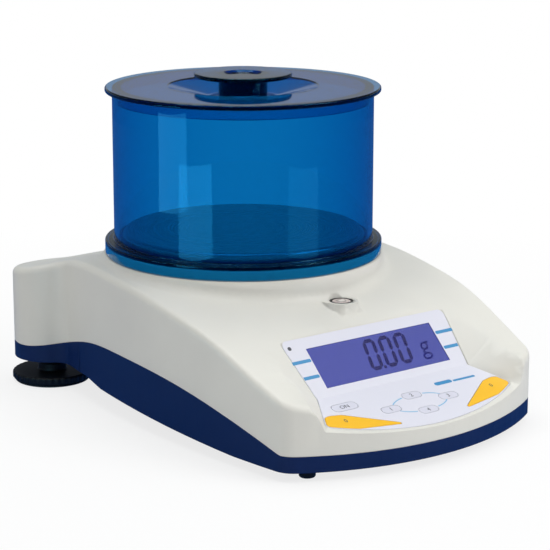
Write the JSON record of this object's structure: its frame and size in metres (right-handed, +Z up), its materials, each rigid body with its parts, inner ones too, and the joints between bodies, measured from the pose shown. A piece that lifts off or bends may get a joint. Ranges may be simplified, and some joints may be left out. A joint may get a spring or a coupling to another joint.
{
  "type": "precision balance",
  "caption": "Portable laboratory balance: sloped display panel with keys, round steel pan under a lidded round tinted draught shield, screw levelling feet at the rear.",
  "frame": {"origin": "middle of the footprint at bench level, under the soles of the feet", "axes": "+X to the balance's right, +Y to its rear, +Z up"},
  "size_m": [0.172, 0.245, 0.1602],
  "materials": {
    "ivory_abs": "fine satin texture",
    "navy_abs": "fine satin texture",
    "black_abs": "satin",
    "black_rubber": "matt",
    "membrane": "fine matt print",
    "key_yellow": "satin",
    "key_lavender": "satin",
    "window_tint": "clear",
    "lcd": "polished",
    "diffuser": "smooth",
    "circuit_board": "solder mask",
    "zinc_steel": "zinc plated",
    "stainless": "fine brushed",
    "brass": "turned",
    "plate_aluminium": "milled",
    "cast_aluminium": "cast",
    "blue_acrylic": "clear tinted",
    "battery_sleeve": "shrink sleeve",
    "level_acrylic": "clear"
  },
  "bodies": {
    "housing": {"upper_housing": "ivory_abs", "lower_housing": "navy_abs", "panel_overlay": "membrane", "display_window": "window_tint", "lcd_glass": "lcd", "lcd_backlight": "diffuser", "display_board": "circuit_board", "display_board_screws": "zinc_steel", "keypad_board": "circuit_board", "keypad_board_screws": "zinc_steel", "left_foot_insert": "brass", "right_foot_insert": "brass", "left_front_foot": "black_rubber", "right_front_foot": "black_rubber", "base_plate": "plate_aluminium", "base_plate_screws": "zinc_steel", "cell_mount_block": "plate_aluminium", "cell_screws": "zinc_steel", "load_cell": "plate_aluminium", "overload_stops": "zinc_steel", "housing_screws": "zinc_steel", "main_board": "circuit_board", "main_board_screws": "zinc_steel", "battery_pack": "battery_sleeve", "battery_cover": "navy_abs", "battery_cover_screws": "zinc_steel", "weigh_below_plug": "black_rubber", "power_jack": "black_abs", "data_port": "zinc_steel", "level_cup": "black_abs", "level_vial": "level_acrylic"},
    "weighing_bridge": {"pan_support": "cast_aluminium", "pan_support_screws": "zinc_steel"},
    "pan": {"weighing_pan": "stainless"},
    "shield": {"draft_shield": "blue_acrylic"},
    "lid": {"shield_lid": "blue_acrylic", "lid_knob": "blue_acrylic"},
    "left_sole": {"left_foot_sole": "black_rubber"},
    "left_foot": {"left_foot_knob": "black_abs"},
    "right_sole": {"right_foot_sole": "black_rubber"},
    "right_foot": {"right_foot_knob": "black_abs"},
    "power_key": {"power_key": "key_lavender"},
    "ring_rear_key": {"ring_rear_key": "key_lavender"},
    "ring_front_key": {"ring_front_key": "key_lavender"},
    "ring_left_key": {"ring_left_key": "key_lavender"},
    "ring_right_key": {"ring_right_key": "key_lavender"},
    "left_tare_key": {"left_tare_key": "key_yellow"},
    "right_tare_key": {"right_tare_key": "key_yellow"}
  },
  "joints": [
    {"name": "bridge_flex", "type": "slide", "parent": "housing", "child": "weighing_bridge", "axis": [0, 0, 1], "range_m": [-0.0003, 0], "stiffness_N_per_m": 40000, "springref_m": 0.0001},
    {"name": "pan_lift", "type": "slide", "parent": "weighing_bridge", "child": "pan", "axis": [0, 0, 1], "range_m": [0, 0.04]},
    {"name": "shield_lift", "type": "slide", "parent": "housing", "child": "shield", "axis": [0, 0, 1], "range_m": [0, 0.09]},
    {"name": "lid_lift", "type": "slide", "parent": "shield", "child": "lid", "axis": [0, 0, 1], "range_m": [0, 0.04]},
    {"name": "left_foot_rise", "type": "slide", "parent": "housing", "child": "left_sole", "axis": [0, 0, 1], "range_m": [-0.008, 0.004]},
    {"name": "left_foot_turn", "type": "hinge", "parent": "left_sole", "child": "left_foot", "pos_m": [-0.0658, 0.1023, 0.003], "axis": [0, 0, 1], "range_deg": [-2305, 1152.5]},
    {"name": "right_foot_rise", "type": "slide", "parent": "housing", "child": "right_sole", "axis": [0, 0, 1], "range_m": [-0.008, 0.004]},
    {"name": "right_foot_turn", "type": "hinge", "parent": "right_sole", "child": "right_foot", "pos_m": [0.0658, 0.1023, 0.003], "axis": [0, 0, 1], "range_deg": [-2305, 1152.5]},
    {"name": "power_key_press", "type": "slide", "parent": "housing", "child": "power_key", "axis": [0, 0.309, -0.9511], "range_m": [0, 0.0004], "stiffness_N_per_m": 2000, "springref_m": -0.0001},
    {"name": "ring_rear_key_press", "type": "slide", "parent": "housing", "child": "ring_rear_key", "axis": [0, 0.309, -0.9511], "range_m": [0, 0.0004], "stiffness_N_per_m": 2000, "springref_m": -0.0001},
    {"name": "ring_front_key_press", "type": "slide", "parent": "housing", "child": "ring_front_key", "axis": [0, 0.309, -0.9511], "range_m": [0, 0.0004], "stiffness_N_per_m": 2000, "springref_m": -0.0001},
    {"name": "ring_left_key_press", "type": "slide", "parent": "housing", "child": "ring_left_key", "axis": [0, 0.309, -0.9511], "range_m": [0, 0.0004], "stiffness_N_per_m": 2000, "springref_m": -0.0001},
    {"name": "ring_right_key_press", "type": "slide", "parent": "housing", "child": "ring_right_key", "axis": [0, 0.309, -0.9511], "range_m": [0, 0.0004], "stiffness_N_per_m": 2000, "springref_m": -0.0001},
    {"name": "left_tare_key_press", "type": "slide", "parent": "housing", "child": "left_tare_key", "axis": [0, 0.309, -0.9511], "range_m": [0, 0.0004], "stiffness_N_per_m": 2000, "springref_m": -0.0001},
    {"name": "right_tare_key_press", "type": "slide", "parent": "housing", "child": "right_tare_key", "axis": [0, 0.309, -0.9511], "range_m": [0, 0.0004], "stiffness_N_per_m": 2000, "springref_m": -0.0001}
  ],
  "couplings": [
    {"joint": "left_foot_turn", "follows": "left_foot_rise", "rad_per_m": 5026.5},
    {"joint": "right_foot_turn", "follows": "right_foot_rise", "rad_per_m": 5026.5}
  ]
}
